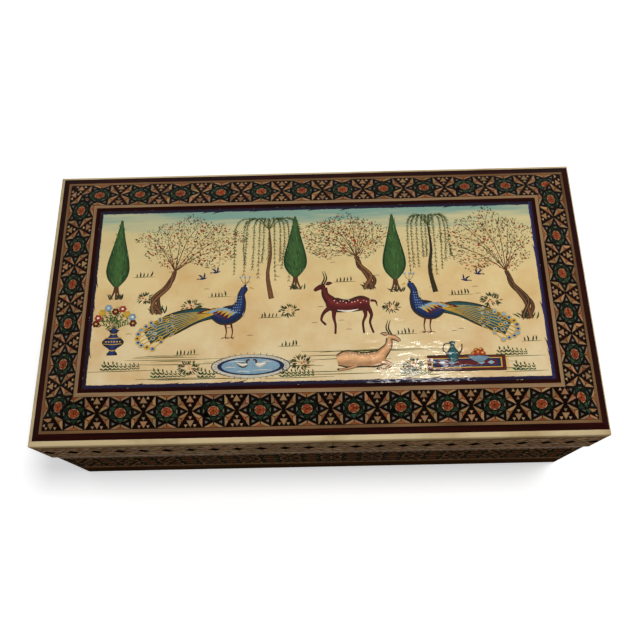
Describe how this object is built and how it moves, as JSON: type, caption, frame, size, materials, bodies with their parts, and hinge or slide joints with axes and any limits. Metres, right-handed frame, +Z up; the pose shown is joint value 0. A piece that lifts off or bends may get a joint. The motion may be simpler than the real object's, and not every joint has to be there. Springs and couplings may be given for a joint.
{
  "type": "inlaid cigarette box",
  "caption": "Rectangular wooden cigarette box with a hinged, slope-edged lid, star marquetry bands, pale edging and a painted garden panel.",
  "frame": {"origin": "on the resting surface under the middle of the closed box", "axes": "+X to the right along the length, +Y from the front to the hinged back, +Z up"},
  "size_m": [0.165, 0.088, 0.0562],
  "materials": {
    "carcass_wood": "satin varnish",
    "khatam": "lacquered star marquetry of wood, bone and brass",
    "dark_wood": "lacquered",
    "maroon_wood": "lacquered",
    "tan_wood": "lacquered",
    "bone": "polished bone or an imitation of it",
    "painted_panel": "painted and lacquered",
    "brass": "satin"
  },
  "bodies": {
    "base": {"bottom_board": "carcass_wood", "base_board_front": "carcass_wood", "base_board_right": "carcass_wood", "base_board_back": "carcass_wood", "base_board_left": "carcass_wood", "divider": "carcass_wood", "plinth_front": "dark_wood", "plinth_right": "dark_wood", "plinth_back": "dark_wood", "plinth_left": "dark_wood", "base_line_front": "tan_wood", "base_line_right": "tan_wood", "base_line_back": "tan_wood", "base_line_left": "tan_wood", "base_khatam_front": "khatam", "base_khatam_right": "khatam", "base_khatam_back": "khatam", "base_khatam_left": "khatam", "base_rim_front": "tan_wood", "base_rim_right": "tan_wood", "base_rim_back": "tan_wood", "base_rim_left": "tan_wood", "hinge_base_leaf_left": "brass", "hinge_base_leaf_right": "brass", "hinge_pin_left": "brass", "hinge_pin_right": "brass"},
    "lid": {"lid_rail_front": "carcass_wood", "lid_rail_right": "carcass_wood", "lid_rail_back": "carcass_wood", "lid_rail_left": "carcass_wood", "lid_board": "carcass_wood", "lid_lip_front": "tan_wood", "lid_lip_right": "tan_wood", "lid_lip_back": "tan_wood", "lid_lip_left": "tan_wood", "lid_khatam_front": "khatam", "lid_khatam_right": "khatam", "lid_khatam_back": "khatam", "lid_khatam_left": "khatam", "lid_edging_front": "bone", "lid_edging_right": "bone", "lid_edging_back": "bone", "lid_edging_left": "bone", "outer_string_front": "maroon_wood", "outer_string_right": "maroon_wood", "outer_string_back": "maroon_wood", "outer_string_left": "maroon_wood", "outer_line": "tan_wood", "star_band_front": "khatam", "star_band_right": "khatam", "star_band_back": "khatam", "star_band_left": "khatam", "inner_line": "tan_wood", "inner_string": "maroon_wood", "painted_panel": "painted_panel", "hinge_lid_leaf_left": "brass", "hinge_lid_leaf_right": "brass"}
  },
  "joints": [
    {"name": "lid_hinge", "type": "hinge", "parent": "base", "child": "lid", "pos_m": [0, 0.0419, 0.03315], "axis": [-1, 0, 0], "range_deg": [0, 104]}
  ]
}
